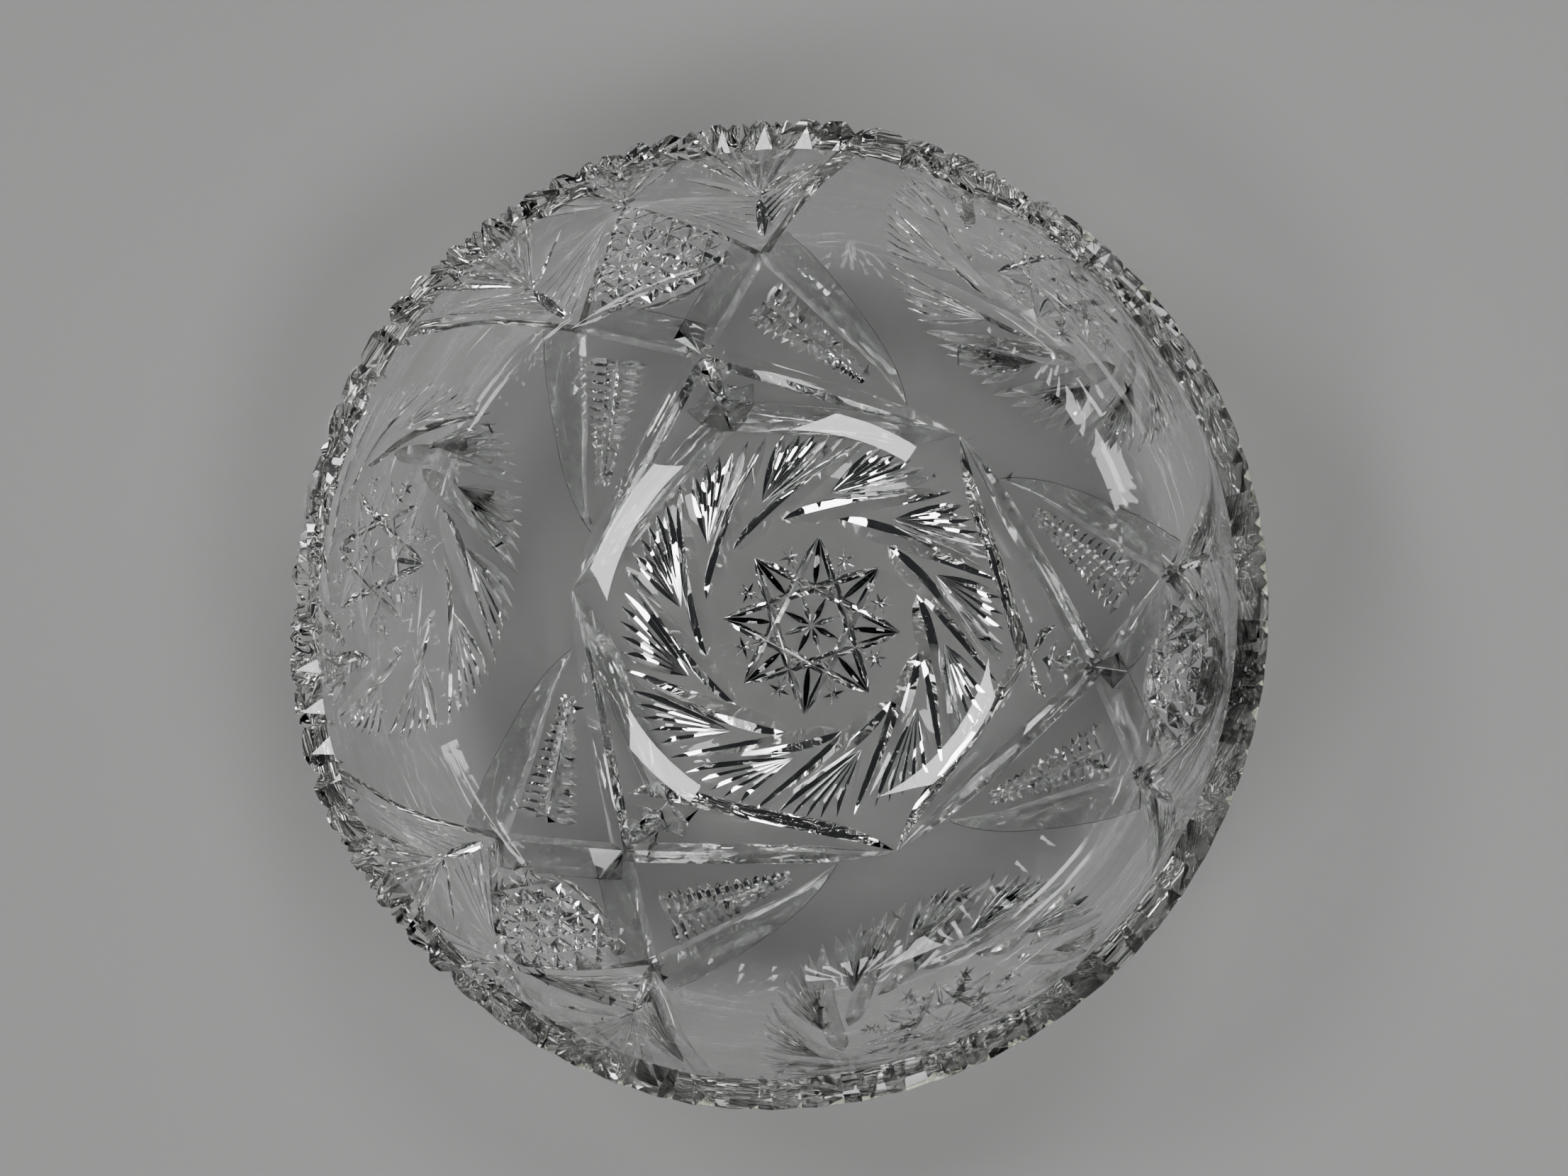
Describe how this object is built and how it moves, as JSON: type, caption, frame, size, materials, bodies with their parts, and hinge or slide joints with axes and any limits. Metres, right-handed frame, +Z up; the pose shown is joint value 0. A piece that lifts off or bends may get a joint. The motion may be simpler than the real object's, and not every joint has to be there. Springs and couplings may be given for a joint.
{
  "type": "cut glass punch bowl",
  "caption": "Wide, heavy clear glass punch bowl, smooth inside, with mitre-cut kites and pinwheels outside and a scalloped, toothed rim.",
  "frame": {"origin": "centre of the flat base that the bowl stands on", "axes": "+Z up along the bowl's axis; +X through the middle of one kite panel"},
  "size_m": [0.2282, 0.2288, 0.0896],
  "materials": {
    "crystal": "polished clear lead glass"
  },
  "bodies": {
    "root": {"bowl": "crystal"}
  },
  "joints": []
}
